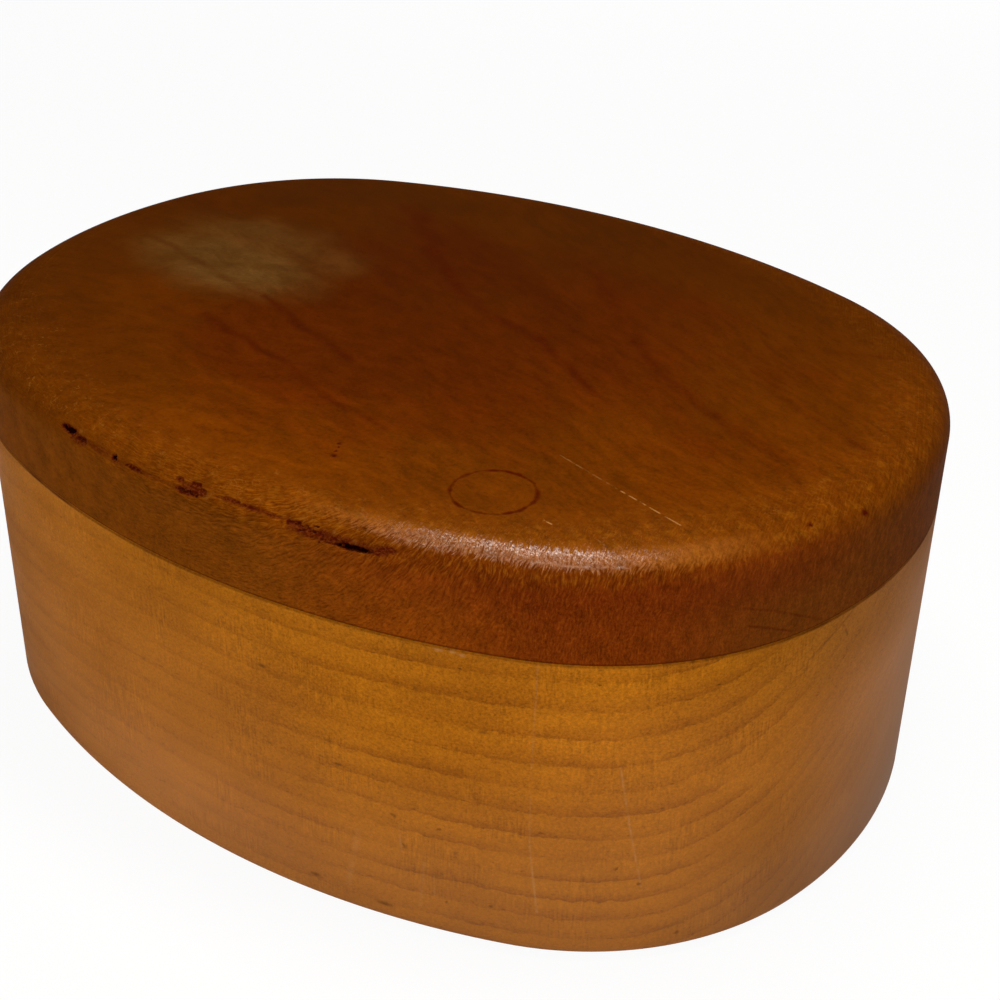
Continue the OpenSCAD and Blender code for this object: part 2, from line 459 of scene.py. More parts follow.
def make_body(material):
    """The block with its rounded foot, the cavity led round the post, and the screw's bore."""
    bm = bmesh.new()
    foot = reversed(quarter(FOOT_ROUND, steps=10))
    outside = [(inset, FOOT_ROUND - rise) for inset, rise in foot]
    outside += [(0, z) for z in spread(FOOT_ROUND, body_top - RIM_EASE, count=40)[1:]]
    outside += [(RIM_EASE, body_top)]
    outer = swept(bm, sample(oval_arcs()), outside)

    lip = body_top - CAVITY_EASE
    bend = FLOOR + FLOOR_ROUND
    inside = [(-inset, lip + rise) for inset, rise in reversed(quarter(CAVITY_EASE, steps=4))]
    inside += [(0, z) for z in spread(lip, bend, count=24)[1:]]
    inside += [(inset, bend - rise) for inset, rise in quarter(FLOOR_ROUND, steps=14)[1:]]
    inner = swept(bm, sample(cavity_arcs()), inside)

    bore_end = screw_low.z + SHANK_BORE_START
    levels = (
        (SHANK_BORE_R, body_top),
        (SHANK_BORE_R, bore_end),
        (PILOT_R, bore_end),
        (PILOT_R, screw_low.z - POINT_ROOM),
    )
    hole = turned(bm, levels, BORE_SIDES)
    cap(bm, hole[-1])
    cap(bm, outer[-1], inner[0], hole[0])
    cap(bm, inner[-1])
    cap(bm, outer[0])
    to_object(bm, "box_body", "box", "body_wood", material, "body")


def make_washer(material):
    """A flat washer with eased edges."""
    bm = bmesh.new()
    outside, hole = (washer_high.x - washer_low.x) / 2, WASHER_BORE_R
    low, high = washer_low.z, washer_high.z
    rings = turned(bm, (
        (hole + WASHER_EASE, low),
        (outside - WASHER_EASE, low),
        (outside, low + WASHER_EASE),
        (outside, high - WASHER_EASE),
        (outside - WASHER_EASE, high),
        (hole + WASHER_EASE, high),
        (hole, high - WASHER_EASE),
        (hole, low + WASHER_EASE),
    ))
    skin(bm, (rings[-1], rings[0]))
    to_object(bm, "washer_plain", "box", "screw_steel", material, "pivot_washer")


def add_head(bm):
    """The plain shank, the domed head on it and the slot across the dome."""
    head_low = washer_high.z
    rim = head_low + HEAD_RIM
    dome = screw_high.z - rim
    shank = [(SHANK_R, screw_low.z + SHANK_START), (SHANK_R, head_low)]
    head = [(HEAD_R, head_low), (HEAD_R, rim)]
    head += [
        (HEAD_R * math.cos(turn), rim + dome * math.sin(turn))
        for turn in spread(0, DOME_TURN, count=14)[1:]
    ]
    rings = turned(bm, shank + head)
    cap(bm, rings[0])
    cap(bm, rings[-1])
    slot_floor = screw_high.z - SLOT_DEPTH
    for loop in rings[len(shank):]:
        for v in loop:
            if abs(v.co.y - pivot.y) < SLOT_W / 2:
                v.co.z = min(v.co.z, slot_floor)


def add_thread(bm):
    """A helical ridge that grows out of the shank's end and shrinks towards the point."""
    low, high = screw_low.z, screw_low.z + SHANK_START
    total = math.floor((high - low) / THREAD_PITCH) * THREAD_SIDES
    root_half = ROOT_HALF * THREAD_PITCH
    strip = []
    for i in range(total + 1):
        z = high - (high - low) * (i / total)
        left = (z - low) / POINT_LENGTH
        core = CORE_R * min(1, POINT_CORE + left)
        grow = min(1, POINT_THREAD + left) * min(1, i / THREAD_SIDES)
        crest = core + (SHANK_R - CORE_R) * grow
        root = core * ROOT_SINK
        section = (
            (root, z + root_half), (crest, z + CREST_HALF),
            (crest, z - CREST_HALF), (root, z - root_half),
        )
        way = unit(math.tau * i / THREAD_SIDES)
        strip.append([
            bm.verts.new((*(pivot + way * r), min(max(h, low), high))) for r, h in section
        ])
    skin(bm, strip)
    bm.faces.new(strip[0])
    bm.faces.new(reversed(strip[-1]))


def add_core(bm):
    """The core inside the thread, drawn out to the point."""
    levels = (
        (CORE_R, screw_low.z + SHANK_START + CORE_LAP),
        (CORE_R, screw_low.z + POINT_LENGTH),
        (POINT_R, screw_low.z),
    )
    rings = turned(bm, levels, CORE_SIDES)
    cap(bm, rings[0])
    cap(bm, rings[-1])


def make_screw(material):
    """A slotted round-head wood screw."""
    bm = bmesh.new()
    add_head(bm)
    add_thread(bm)
    add_core(bm)
    to_object(bm, "screw_slotted", "box", "screw_steel", material, "pivot_screw")


# Most of a noise lies between these values. A mix node has its colours at these sockets.
NOISE_LOW, NOISE_HIGH = 0.3, 0.7
MIX_FACTOR, MIX_FIRST, MIX_SECOND, MIX_RESULT = 0, 6, 7, 2


class Value:
    """A socket of a node tree. What is reckoned from it becomes nodes of that tree."""

    def __init__(self, tree, socket):
        self.tree = tree
        self.socket = socket

    def __add__(self, other):
        return self.tree.calc("ADD", self, other)

    def __sub__(self, other):
        return self.tree.calc("SUBTRACT", self, other)

    def __rsub__(self, other):
        return self.tree.calc("SUBTRACT", other, self)

    def __mul__(self, other):
        return self.tree.calc("MULTIPLY", self, other)

    def __truediv__(self, other):
        return self.tree.calc("DIVIDE", self, other)

    def __abs__(self):
        return self.tree.calc("ABSOLUTE", self)

    __radd__ = __add__

    def line(self, low, high, first=0.0, last=1.0, kind="LINEAR"):
        """A straight change from first to last, held outside the range."""
        span = (self, low, high, first, last)
        return self.tree.add("ShaderNodeMapRange", span, interpolation_type=kind)

    def step(self, low, high, first=0.0, last=1.0):
        """A smooth change: first below low, last above high."""
        return self.line(low, high, first, last, "SMOOTHSTEP")

    def fall(self, low, high):
        """1 below low, 0 above high."""
        return self.step(low, high, 1.0, 0.0)

    def between(self, rise, fall):
        """1 between two places; it rises over the first span and falls over the second."""
        return self.step(*rise) * self.fall(*fall)

    def swing(self, amount, middle=0.0):
        """A noise made to lie up to an amount either side of the middle."""
        return self.line(NOISE_LOW, NOISE_HIGH, middle - amount, middle + amount)


class Tree:
    """Short calls for building a node tree. They take numbers, tuples and values."""

    def __init__(self, name):
        self.material = bpy.data.materials.new(name)
        self.material.use_nodes = True
        self.tree = self.material.node_tree
        self.tree.nodes.clear()

    def add(self, kind, inputs=(), output=0, **settings):
        """Adds a node and gives one of its outputs."""
        node = self.tree.nodes.new(kind)
        for key, value in settings.items():
            setattr(node, key, value)
        items = inputs.items() if isinstance(inputs, dict) else enumerate(inputs)
        for key, value in items:
            if isinstance(value, Value):
                self.tree.links.new(value.socket, node.inputs[key])
            elif value is not None:
                node.inputs[key].default_value = value
        return Value(self, node.outputs[output])

    def calc(self, operation, *values, clamp=False):
        return self.add("ShaderNodeMath", values, operation=operation, use_clamp=clamp)

    def most(self, *values):
        greatest = values[0]
        for value in values[1:]:
            greatest = self.calc("MAXIMUM", greatest, value)
        return greatest

    def least(self, first, second):
        return self.calc("MINIMUM", first, second)

    def vector(self, operation, *values):
        scalar = operation in ("LENGTH", "DISTANCE", "DOT_PRODUCT")
        output = "Value" if scalar else "Vector"
        return self.add("ShaderNodeVectorMath", values, output, operation=operation)

    def scaled(self, vector, sizes):
        """The vector divided by a size along each axis."""
        return self.vector("DIVIDE", vector, sizes)

    def shade(self, colour, factor):
        """The colour, or any vector, times a factor."""
        return self.vector("SCALE", colour, None, None, factor)

    def join(self, *parts):
        return self.add("ShaderNodeCombineXYZ", parts)

    def mix(self, factor, first, second):
        """The first colour where the factor is 0, the second where it is 1."""
        first, second = ((*c, 1) if isinstance(c, tuple) else c for c in (first, second))
        inputs = {MIX_FACTOR: factor, MIX_FIRST: first, MIX_SECOND: second}
        return self.add("ShaderNodeMix", inputs, MIX_RESULT, data_type="RGBA")

    def segment(self, point, start, end, half_width):
        """1 on a straight mark from start to end, falling to 0 at half_width."""
        span = Vector(end) - Vector(start)
        from_start = self.vector("SUBTRACT", point, start)
        run = self.vector("DOT_PRODUCT", from_start, tuple(span))
        run = self.calc("DIVIDE", run, span.length_squared, clamp=True)
        nearest = self.shade(tuple(span), run)
        return self.vector("DISTANCE", from_start, nearest).fall(0.0, half_width)

    def path(self, point, stops, half_width):
        """1 on a line through the stops, falling to 0 at half_width."""
        return self.most(*(self.segment(point, a, b, half_width) for a, b in zip(stops, stops[1:])))

    def spot(self, point, centre, radii, strength):
        """The strength at the centre of an ellipsoid, falling to 0 at its skin."""
        off = self.scaled(self.vector("SUBTRACT", point, centre), radii)
        return self.vector("LENGTH", off).step(0.0, 1.0, strength, 0.0)

    def bump(self, height, strength, distance):
        inputs = {"Strength": strength, "Distance": distance, "Height": height}
        return self.add("ShaderNodeBump", inputs)

    def close(self, shader):
        """Ends the tree with the shader and gives the material."""
        end = self.tree.nodes.new("ShaderNodeOutputMaterial")
        self.tree.links.new(shader.socket, end.inputs["Surface"])
        return self.material


class Surface(Tree):
    """A tree with the place on the part, in millimetres, and the colour painted so far."""

    def __init__(self, name, colour):
        super().__init__(name)
        self.colour = colour
        self.p = self.shade(self.add("ShaderNodeTexCoord", output="Object"), 1 / MM)
        self.x, self.y, self.z = (
            self.add("ShaderNodeSeparateXYZ", (self.p,), axis) for axis in "XYZ"
        )

    def paint(self, factor, tint):
        """Lays another colour over the one so far."""
        self.colour = self.mix(factor, self.colour, tint)

    def tone(self, factor):
        """Makes the colour so far lighter or darker."""
        self.colour = self.shade(self.colour, factor)

    def noise(self, sizes, detail=2.0, roughness=0.5, distortion=0.0, at=None, output="Fac"):
        """Noise whose features have a size along each axis, here or at another place."""
        inputs = {
            "Vector": self.scaled(at or self.p, sizes), "Scale": 1.0, "Detail": detail,
            "Roughness": roughness, "Distortion": distortion,
        }
        return self.add("ShaderNodeTexNoise", inputs, output)

    def wobble(self, size, reach, detail=2.0, at=None):
        """The place moved about in the plane by noise of the given size."""
        tint = self.noise((size, size, size), detail, at=at, output="Color")
        off = self.vector("SUBTRACT", tint, (0.5, 0.5, 0.5))
        off = self.vector("MULTIPLY", off, (2 * reach, 2 * reach, 0))
        return self.vector("ADD", at or self.p, off)

    def finish(self, **sockets):
        """Ends the tree with a principled shader, whose sockets are named in small letters."""
        sockets["base_color"] = self.colour
        inputs = {
            key.replace("_", " ").title().replace("Ior", "IOR"): value
            for key, value in sockets.items()
        }
        return self.close(self.add("ShaderNodeBsdfPrincipled", inputs))


# Size along an axis that a measure takes no notice of.
ENDLESS = 1e6
# The way from the back left to the front right: the lid is painted lighter and worn more that way.
TO_FRONT = (0.5, -0.86, 0)


class LidSurface(Surface):
    """Adds the drop below the top, the share of the way to the rim and the way to the front."""

    def __init__(self, name, colour):
        super().__init__(name, colour)
        self.top = lid_top / MM
        self.drop = self.top - self.z
        oval = (half_length / MM, half_width / MM, ENDLESS)
        self.rim = self.vector("LENGTH", self.scaled(self.p, oval))
        self.towards = self.vector("DOT_PRODUCT", self.p, TO_FRONT)


BODY_LIGHT = (0.45, 0.147, 0.004)
BODY_DEEP = (0.37, 0.118, 0.004)
BODY_LATE = (0.2, 0.052, 0.002)
BODY_DIRT = (0.06, 0.019, 0.005)
# Pale tint of a painted reflection of the floor.
BODY_REFLECTED_PALE = (0.52, 0.27, 0.15)
LID_RED = (0.133, 0.0226, 0.0004)
LID_OLIVE = (0.15, 0.033, 0.0005)
LID_EDGE = (0.185, 0.043, 0.0015)
LID_SIDE_LEFT = (0.178, 0.0472, 0.0026)
LID_GOLD = (0.36, 0.115, 0.006)
LID_COPPER = (0.33, 0.078, 0.005)
LID_SHADE = (0.13, 0.016, 0.0018)
LID_LINE = (0.07, 0.0085, 0.0002)
BLEACH = (0.142, 0.062, 0.012)
GRIME = (0.008, 0.0006, 0.0004)
SCUFF = (0.07, 0.0065, 0.0012)
BRUISE = (0.21, 0.042, 0.006)
RING_DIRT = (0.082, 0.0085, 0.0003)
PALE_FIBRE = (0.5, 0.25, 0.1)
FLECK = (0.35, 0.13, 0.018)
SCRATCH = (0.5, 0.23, 0.06)
# Golden wear on the front round-over, partly a painted highlight.
WORN_AND_HIGHLIGHT = (0.33, 0.1, 0.012)
STEEL_BRIGHT = (0.58, 0.56, 0.53)
STEEL_DULL = (0.36, 0.33, 0.29)
WARM_GLOSS = (1, 0.7, 0.5, 1)

# Growth rings of the body, in millimetres: the height of one ring at the front, the spacing
# and a slow change in it, how the rings curve up behind a place along y and go on at a slope,
# dip to the left, sway and ripple. Then how sharp and dark the late wood is, and how dark the
# close lines between the rings.
RING_HEIGHT = 40.4
RING_SPACING = 3.36
RING_SHIFT = 1.2
RING_SHIFT_RATE = 0.0935
RING_TURN_Y = 38.6
RING_BENT = 24.0
RING_BEND = 0.0185
RING_SLOPE = 0.9
RING_DIP = 0.0017
RING_SWAY = 1.4
RING_RIPPLE = 0.7
RING_SHARPNESS = 3.0
RING_DARK = 0.68
CLOSE_DARK = 0.09

# Marks on the body, in millimetres. Scratches: ends, half width and strength.
BODY_SCRATCHES = (
    ((41.4, -40.7, 42.3), (41.1, -40.8, 26.9), 0.2, 0.2),
    ((41.1, -40.8, 25.0), (41.2, -40.8, 17.0), 0.2, 0.22),
    ((41.2, -40.8, 17.0), (42.2, -40.3, 7.2), 0.24, 0.45),
    ((49.4, -35.7, 29.0), (50.6, -34.7, 20.0), 0.22, 0.35),
    ((50.6, -34.7, 20.0), (51.9, -33.5, 11.3), 0.22, 0.4),
    ((21.2, -46.9, 13.3), (19.7, -47.2, 4.6), 0.7, 0.16),
    ((26.4, -45.7, 15.9), (26.7, -45.7, 12.3), 0.25, 0.25),
    ((29.4, -44.9, 11.3), (28.9, -45.1, 4.6), 0.4, 0.2),
    ((30.6, -44.6, 9.7), (30.6, -44.6, 6.7), 0.2, 0.25),
)
# Dark flecks: place, half width and half height.
BODY_FLECKS = (
    ((9.1, -48.6, 33.2), 1.1, 0.4),
    ((19.0, -47.3, 22.6), 1.3, 0.35),
    ((25.7, -45.9, 17.4), 0.4, 0.5),
    ((27.0, -45.6, 13.2), 0.5, 0.6),
    ((31.1, -44.4, 17.0), 0.4, 0.35),
    ((36.0, -42.8, 32.2), 0.8, 0.3),
    ((42.3, -40.2, 19.2), 0.5, 0.3),
    ((49.6, -35.5, 14.3), 0.4, 0.5),
    ((51.7, -33.7, 11.8), 0.5, 0.4),
    ((15.2, -47.9, 4.2), 1.0, 0.5),
    ((24.4, -46.2, 3.2), 1.8, 0.5),
    ((32.1, -44.1, 6.1), 0.35, 0.35),
    ((37.2, -42.4, 6.9), 0.4, 0.4),
    ((55.2, -30.0, 3.4), 0.6, 0.45),
)
FLECK_STRENGTH = 0.6
BODY_CRUMBS = ((31.1, -44.4, 42.1), (32.6, -44.0, 42.2), (33.6, -43.6, 42.0))
CRUMB_RADII = (0.7, 0.7, 0.35)
CRUMB_STRENGTH = 0.5
# Cracks at the right end: stops and strength.
BODY_CRACKS = (
    (((61.6, -19.3, 37.3), (62.6, -16.2, 39.3), (63.6, -12.8, 41.1), (64.0, -10.8, 42.4)), 0.4),
    (((63.6, -12.8, 41.1), (63.8, -11.5, 39.0)), 0.5),
)
CRACK_HALF = 0.3
# Broad patches: centre, radii and strength. The first two change how pale the painted reflection
# is, the other two are painted light.
BODY_PALER = ((-9.0, -48.0, 7.0), (34, 24, 15), 0.1)
BODY_GOLDEN = ((28.0, -45.0, 26.0), (34, 24, 20), -0.05)
BODY_LIT_LEFT = ((-9.0, -48.0, 7.0), (34, 24, 17), 0.14)
BODY_LIT_RIGHT = ((49.0, -35.0, 29.0), (34, 28, 26), 0.12)


def ring_level(t):
    """The height of a place, measured along the bent growth rings."""
    behind = t.most(t.y + RING_TURN_Y, 0)
    bent = t.least(behind, RING_BENT)
    lift = bent * bent * RING_BEND + (behind - bent) * RING_SLOPE
    left = t.least(t.x, 0)
    dip = left * left * RING_DIP
    sway = t.noise((40, 40, 40), 1).line(0, 1, -RING_SWAY, RING_SWAY)
    ripple = t.noise((1.8, 1.8, 1.3), 4, 0.65).line(0, 1, -RING_RIPPLE, RING_RIPPLE)
    level = t.z - lift + dip + sway + ripple
    shift = t.calc("SINE", (RING_HEIGHT - level) * RING_SHIFT_RATE)
    return level + shift * RING_SHIFT


def body_rings(t):
    """The patches where late wood shows, the late wood and how dark the rings are in all.

    Each ring darkens downwards to a sharp, ragged lower edge.
    """
    level = ring_level(t)
    phase = t.calc("FRACT", (level - RING_HEIGHT) / RING_SPACING)
    late = t.calc("POWER", 1 - phase, RING_SHARPNESS)
    late = t.most(late, phase.step(0.94, 1))
    patchy = t.noise((14, 14, 4), 3).step(0.32, 0.66, 0.3, 1)
    close = t.noise((22, 22, 0.5), at=t.join(t.x, t.y, level)).step(0.45, 0.75, 0, CLOSE_DARK)
    clear = t.x.step(-6, 30, 0.36, 1) * t.x.step(56, 65, 1, 0.45)
    return patchy, late, late * patchy * clear * RING_DARK + close


def body_texture(t, late):
    """The tone of faint sanding marks, dark pores and fine grit, and the grit by itself."""
    sanded = t.noise((10, 10, 6)).step(0.45, 0.65)
    hair = t.noise((0.26, 0.26, 2.4), 3).swing(0.2) * sanded
    pores = t.noise((1, 1, 0.3)).step(0.6, 0.72) * late.line(0, 0.8, 0.08, 0.3)
    rubbed = t.x.step(-12, 20, 0.7, 1) * t.x.step(52, 64, 1, 0.75)
    grit = t.noise((0.36, 0.36, 0.32), 3, 0.75).swing(0.19)
    grit *= rubbed * t.z.step(5, 38, 1.1, 1.9)
    return 1 + hair + (grit - pores), grit


def body_painted_light(t):
    """Painted floor reflection: paler at the foot and right end. Painted shade and painted light.
    """
    # Painted reflection of the pale floor: paler towards the foot and round the right end.
    end = t.x.step(54, 64)
    end_reflection = t.y.step(-22, 14, 0, 0.66) * t.y.step(20, 42, 1, 0.3)
    end_reflection = end_reflection * t.z.step(26, 42, 1, 0.3) + t.z.step(3, 17, 0.16, 0)
    foot = t.z.line(1, 41, 0.17, 0)
    foot = foot + t.spot(t.p, *BODY_PALER) + t.spot(t.p, *BODY_GOLDEN)
    t.paint(foot + end * end_reflection, BODY_REFLECTED_PALE)
    # Painted shade: the right end darker near the top, under the lid, and towards the foot.
    end_shade = (t.z.line(4, 30, 0.78, 1.02) * t.z.step(29, 41, 1, 0.75) - 1) * end
    # Painted shade: darker towards the foot everywhere and at the left end.
    left = t.x.step(-55, -25, 0.88, 1) * t.z.line(2, 24, 0.89, 1)
    # Painted light: two broad patches lighter.
    light = t.spot(t.p, *BODY_LIT_RIGHT) + t.spot(t.p, *BODY_LIT_LEFT)
    t.tone(light + end_shade + left)


def body_marks(t, broken, rough_edge):
    """Pale scratches, dark flecks and a few pale crumbs under the seam."""
    for start, stop, half_w, strength in BODY_SCRATCHES:
        mark = t.segment(t.p, start, stop, half_w) * broken * strength
        t.paint(mark, PALE_FIBRE)
    for place, half_w, half_h in BODY_FLECKS:
        fleck = t.spot(rough_edge, place, (half_w, half_w, half_h), FLECK_STRENGTH)
        t.paint(fleck, BODY_DIRT)
    for place in BODY_CRUMBS:
        crumb = t.spot(rough_edge, place, CRUMB_RADII, CRUMB_STRENGTH)
        t.paint(crumb, PALE_FIBRE)


def body_grime(t, patchy, rough_edge):
    """Dirt along the seam, worn off at the front, and smudges under it at the front left."""
    top = body_top / MM
    seam = t.z.between((top - 0.34, top - 0.1), (top - 0.04, top - 0.01))
    worn_off = t.most(t.x.step(-5, 16, 0.85, 0.15), t.x.step(55, 63, 0.15, 0.8))
    t.paint(seam * worn_off * patchy.step(0.3, 0.9, 0.4, 1), SCUFF)
    smudge = t.noise((2.6, 2.6, 1.3), 3, 0.65, at=rough_edge).step(0.52, 0.74, 0, 0.3)
    smudge *= t.z.step(28, 42) * t.x.between((-35, -8), (8, 30))
    t.paint(smudge * t.y.fall(-40, -25), BODY_DIRT)


def body_cracks(t, broken):
    shaky = t.wobble(0.8, 0.25)
    for stops, strength in BODY_CRACKS:
        crack = t.path(shaky, stops, CRACK_HALF) * strength * broken
        t.paint(crack, BODY_DIRT)


def body_wood():
    t = Surface("body_wood", BODY_LIGHT)
    patchy, late, rings = body_rings(t)
    tone, grit = body_texture(t, late)
    mottle = t.noise((16, 16, 9), 3).step(NOISE_LOW, NOISE_HIGH)
    broken = t.noise((1.5, 1.5, 1.5), 3).line(0.35, 0.6, 0.25, 1)
    rough_edge = t.wobble(0.6, 0.5)

    t.paint(mottle, BODY_DEEP)
    t.paint(rings, BODY_LATE)
    t.tone(tone)
    body_painted_light(t)
    body_marks(t, broken, rough_edge)
    body_grime(t, patchy, rough_edge)
    body_cracks(t, broken)
    return t.finish(
        roughness=mottle.line(0, 1, 0.62, 0.72), specular_ior_level=0.05,
        normal=t.bump(rings * -0.8 + grit * 2.0, strength=0.3, distance=0.05 * MM),
    )


# The lid's grain: its slant to the box, how that changes along y and x, and how far it strays.
GRAIN_SLANT = 0.3
GRAIN_FAN_Y = 0.006
GRAIN_FAN_X = 0.0035
GRAIN_STRAY = 4

# Marks on the top of the lid, in millimetres. A line has stops, a half width and a strength.
LID_LINES = (
    (((-29.3, 30.4), (-24.0, 27.5), (-17.9, 21.9), (-10.7, 15.4)), 3.0, 0.8),
    (((-10.7, 15.4), (-3.6, 9.0), (3.0, 5.8), (12.1, 3.3)), 1.9, 0.8),
    (((12.1, 3.3), (17.9, -0.3), (26.4, -5.3)), 1.2, 0.85),
    (((26.4, -5.3), (32.3, -7.1), (40.6, -10.2)), 1.6, 0.22),
    (((3.6, 27.6), (15.0, 19.0), (22.1, 9.0)), 2.4, 0.45),
    (((22.1, 9.0), (35.0, 0.4), (40.0, -2.5)), 1.4, 0.5),
    (((40.0, -2.5), (43.6, -4.6), (57.9, -12.4)), 1.4, 0.32),
    (((39.3, 11.9), (49.3, 4.7), (59.3, -0.3)), 1.8, 0.36),
    (((39.2, 19.8), (44.7, 21.3), (52.5, 24.9)), 1.4, 0.25),
    (((-28.6, -16.0), (-17.9, -18.9), (-3.6, -23.6), (10.7, -27.9)), 1.2, 0.68),
    (((-52.0, -1.0), (-35.0, -4.6), (-25.0, -8.1)), 1.2, 0.4),
    (((-25.0, -8.1), (-15.0, -11.0), (-3.6, -15.3)), 1.2, 0.72),
)
# Bleached places: centre, radii and strength.
BLEACH_LOBES = (
    ((-36.5, -1.5), (18.0, 9.8), 1.0),
    ((-37.5, 6.5), (16.5, 10.0), 0.6),
    ((-26.0, 6.0), (8.5, 7.5), 0.35),
)
# Dark dots: place and radius.
LID_DOTS = (
    ((9.2, -33.5, 55.5), 0.5),
    ((9.6, -34.3, 55.5), 0.3),
    ((10.0, -35.2, 55.5), 0.4),
    ((10.5, -36.1, 55.5), 0.65),
    ((63.2, -9.8, 53.8), 0.8),
    ((60.1, -17.2, 54.8), 0.55),
)
DOT_STRENGTH = 1.2
# Pale scratches: ends and strength.
LID_SCRATCHES = (
    ((31.0, -21.0), (41.0, -24.0), 0.3),
    ((40.0, -23.7), (49.5, -26.4), 0.75),
    ((37.3, -34.0), (38.4, -34.2), 1.0),
    ((43.6, -34.0), (46.0, -34.6), 0.35),
)
SCRATCH_HALF = 0.18
LID_CRACKS = (
    ((57.9, -26.4, 48.2), (59.7, -23.2, 47.0), (61.3, -19.8, 45.1), (62.5, -16.5, 43.3)),
    ((58.2, -25.8, 45.8), (59.5, -23.6, 44.9), (61.0, -20.7, 43.4)),
)
# Patches of painted light and shade on the top: centre, radii and strength.
LID_LIT_PATCH = ((-3.0, -38.0, 55.5), (30, 16, 9), 0.14)
LID_SHADED_PATCH = ((33.0, -30.0, 55.5), (30, 16, 9), -0.1)
# Where a colour of the lid's side takes over from the one to its left, along x.
LID_SIDE_TURNS = (
    ((6, 30), (0.243, 0.051, 0.0027)),
    ((29, 43), (0.176, 0.0295, 0.002)),
    ((49, 62), (0.145, 0.037, 0.004)),
)
# A bright streak on the front round-over: gloss in the coat and a painted highlight in the colour.
GLINT_LINE = ((40.1, -39.7, 54.3), (42.0, -38.9, 54.2), (45.5, -36.9, 54.1), (48.5, -34.8, 54.2))
GLINT_HALF = 0.3
PLUG_RING_R = 4.76

# Broken fibres on the lid's edge: the way out from middle to rim in millimetres, then how the
# fibres turn upright along the front: radians per millimetre, over how long a stretch, how that
# leans back, and the fall that they turn at.
EDGE_OUT = 55.0
HATCH_TURN = 0.0349
HATCH_HELD = 42.0
HATCH_LEAN = 0.4
HATCH_FALL = 3.0


def lid_grain(t):
    """The place in the grain, which runs slantwise and fans out towards the back right."""
    slant = GRAIN_SLANT + (t.y * GRAIN_FAN_Y + t.x * GRAIN_FAN_X)
    stray = t.noise((22, 22, 30)).line(0, 1, -GRAIN_STRAY, GRAIN_STRAY)
    return t.join(t.x, t.y + t.x * slant + stray, t.z)


def lid_ground(t, grain, narrow, cloud, mottle):
    """Red in the middle, olive in bands and clouds and towards the rim."""
    broad = t.noise((45, 11, 12), 3, 0.6, 0.3, at=grain)
    red = broad * 0.3 + cloud * 0.5 + mottle * 0.2 - t.rim.step(0.3, 0.9, 0, 0.26)
    tone = broad.swing(-0.07, middle=1) * narrow.line(0.25, 0.75, 0.965, 1.035)
    tone *= mottle.swing(0.09, middle=1)
    t.paint(red.step(0.25, 0.5), LID_RED)
    t.tone(tone)


def lid_shade_and_wear(t):
    """Painted light and shade: lighter towards the front and rim, darker at the back and left end.
    """
    # Painted shade: darker towards the back left and in the middle of the top, lighter at the rim.
    t.tone(t.towards.line(-55, 42, 0.5, 0.98) * t.rim.step(0.2, 0.95, 0.87, 1.08))
    t.paint(t.rim.step(0.8, 0.96) * t.towards.line(-40, 20, 0.08, 0.6), LID_EDGE)
    # Painted shade on the rim at the left end, a little lighter at the right end.
    ends = t.x.line(-45, -8, 0.7, 1) * t.x.step(42, 58, 1, 1.06) - 1
    ends *= t.rim.step(0.7, 0.95) * t.y.step(-30, 5, 1, 0.3)
    # Painted shade at the far side and the back right, and patches of painted light and shade.
    back = t.y.step(12, 42, 0, 0.2) * t.x.step(-32, 0)
    right = t.x.step(26, 52, 0, 0.1) * t.y.step(-34, -12)
    light = t.spot(t.p, *LID_LIT_PATCH) + t.spot(t.p, *LID_SHADED_PATCH) - (back + right)
    t.tone((1 + ends) * (1 + light))


def lid_side(t, side, cloud):
    """The lid's side has its own colours, which change along the front."""
    tint = LID_SIDE_LEFT
    for span, next_tint in LID_SIDE_TURNS:
        tint = t.mix(t.x.step(*span), tint, next_tint)
    t.paint(side, tint)
    t.tone(cloud.swing(0.07, middle=1))


def lid_bleach(t, mottle):
    """Stain bleached away at the back left."""
    ragged = t.wobble(6.0, 3.0, 4.0)
    bleach = 0
    for centre, radii, strength in BLEACH_LOBES:
        off = t.scaled(t.vector("SUBTRACT", ragged, (*centre, t.top)), (*radii, ENDLESS))
        bleach = t.most(bleach, t.vector("LENGTH", off).step(0.3, 1.2, strength, 0))
    bleach *= t.drop.fall(0.5, 3.0) * mottle.line(0.3, 0.6, 0.65, 1)
    pale = t.shade(BLEACH, mottle.line(NOISE_LOW, NOISE_HIGH, 0.8, 1.16))
    t.paint(bleach, pale)


def lid_lines(t):
    """Dark grain lines, wavy and patchy."""
    wavy = t.wobble(12.0, 2.5)
    patchy = t.noise((5, 5, 9), 3).line(0.35, 0.62, 0.4, 1)
    for stops, half_w, strength in LID_LINES:
        mark = t.path(wavy, [(*stop, t.top) for stop in stops], half_w)
        t.paint(mark * patchy * strength, LID_LINE)


def hatch_place(t, run, fall):
    """The place along and across the fibres, which turn upright along a stretch of the run."""
    held = t.least(t.most(run, 0), HATCH_HELD)
    rest = run - held
    sine, cosine = (t.calc(wave, held * HATCH_TURN) for wave in ("SINE", "COSINE"))
    rise = HATCH_FALL - fall
    along = sine / HATCH_TURN + cosine * rest + rise * sine
    across = rise * cosine - ((1 - cosine) / HATCH_TURN + sine * rest)
    return t.join(along, across, 0)


